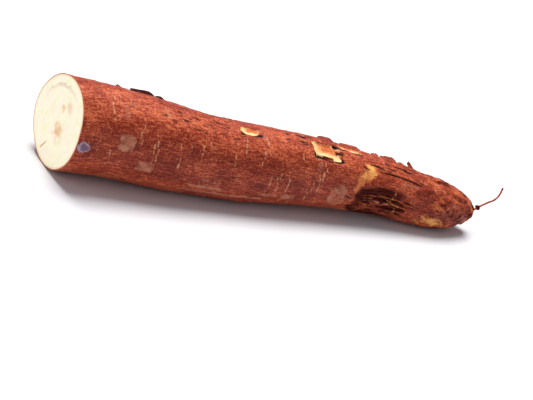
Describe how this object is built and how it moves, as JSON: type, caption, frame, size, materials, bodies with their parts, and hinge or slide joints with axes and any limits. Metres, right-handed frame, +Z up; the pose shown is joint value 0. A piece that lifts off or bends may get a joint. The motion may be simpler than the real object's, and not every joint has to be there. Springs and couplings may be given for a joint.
{
  "type": "cassava root",
  "caption": "Cassava root with rough red-brown bark, sawn across its thick end to show cream flesh, tapering to a blunt tip with a wiry rootlet.",
  "frame": {"origin": "under the middle of the root's outer box, on the surface it lies on", "axes": "+X along the root from the sawn face to the tip, +Z up"},
  "size_m": [0.3528, 0.0564, 0.0569],
  "materials": {
    "bark": "rough papery bark, satin where it is smooth"
  },
  "bodies": {
    "root": {"cassava_root": "bark"}
  },
  "joints": []
}
